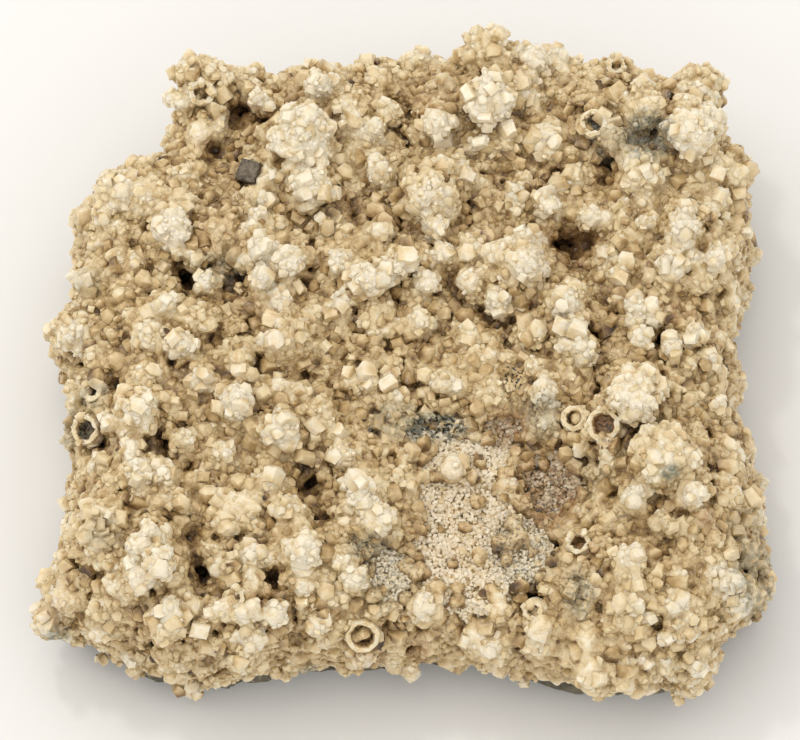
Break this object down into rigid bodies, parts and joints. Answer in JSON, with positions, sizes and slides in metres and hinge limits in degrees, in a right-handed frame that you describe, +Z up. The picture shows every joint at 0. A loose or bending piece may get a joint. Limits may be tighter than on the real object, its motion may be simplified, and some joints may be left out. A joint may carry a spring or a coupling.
{
  "type": "harmotome crystal specimen on matrix",
  "caption": "Loose cabinet mineral specimen: a plate of host rock covered by a knobbly druse of milky cream harmotome crystals with small hollow casts and caves.",
  "frame": {"origin": "on the resting plane, below the middle of the specimen's box", "axes": "+Z up, out of the crystal-covered side; the picture looks along +Y from above, with +X to the right"},
  "size_m": [0.146, 0.14, 0.0449],
  "materials": {
    "host_rock": null,
    "harmotome": null
  },
  "bodies": {
    "root": {"matrix_rock": "host_rock", "harmotome_crust": "harmotome"}
  },
  "joints": []
}
